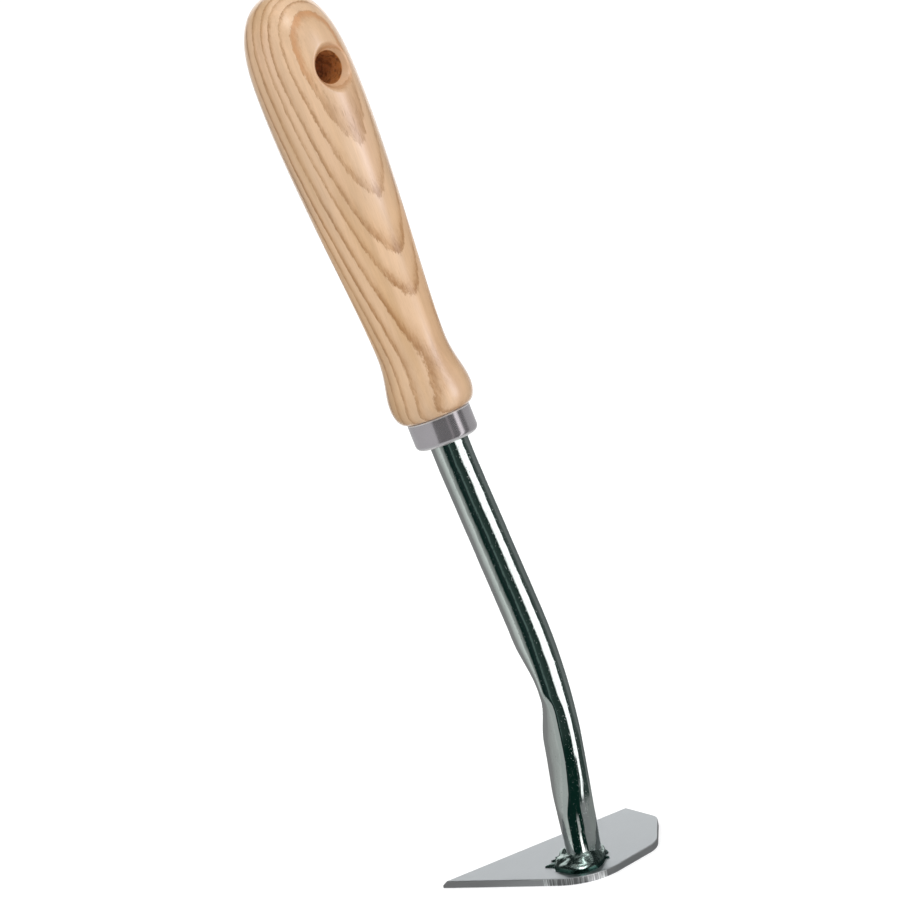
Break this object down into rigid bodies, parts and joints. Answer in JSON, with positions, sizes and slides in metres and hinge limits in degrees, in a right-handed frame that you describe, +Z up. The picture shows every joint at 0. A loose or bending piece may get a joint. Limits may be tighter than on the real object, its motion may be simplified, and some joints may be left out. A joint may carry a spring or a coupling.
{
  "type": "hand hoe",
  "caption": "Short hand hoe with a flat pointed steel blade on a bent chromed tube neck, a steel ferrule, and a turned wooden handle drilled for hanging.",
  "frame": {"origin": "on the blade's underside, under the middle of the neck's foot", "axes": "+Z up from the blade along the neck's foot, +Y towards the blade's cutting edge, which the neck leans over, -X towards the blade's pointed tip"},
  "size_m": [0.0673, 0.0937, 0.2668],
  "materials": {
    "blade_steel": "ground satin steel, with a ground bevel along the cutting edge",
    "weld_steel": "rough weld, plated over",
    "chromed_steel": "bright chrome plate",
    "ferrule_steel": "bright drawn steel",
    "ash_wood": "clear gloss lacquer"
  },
  "bodies": {
    "root": {"blade": "blade_steel", "weld_bead": "weld_steel", "neck_tube": "chromed_steel", "ferrule": "ferrule_steel", "handle": "ash_wood"}
  },
  "joints": []
}
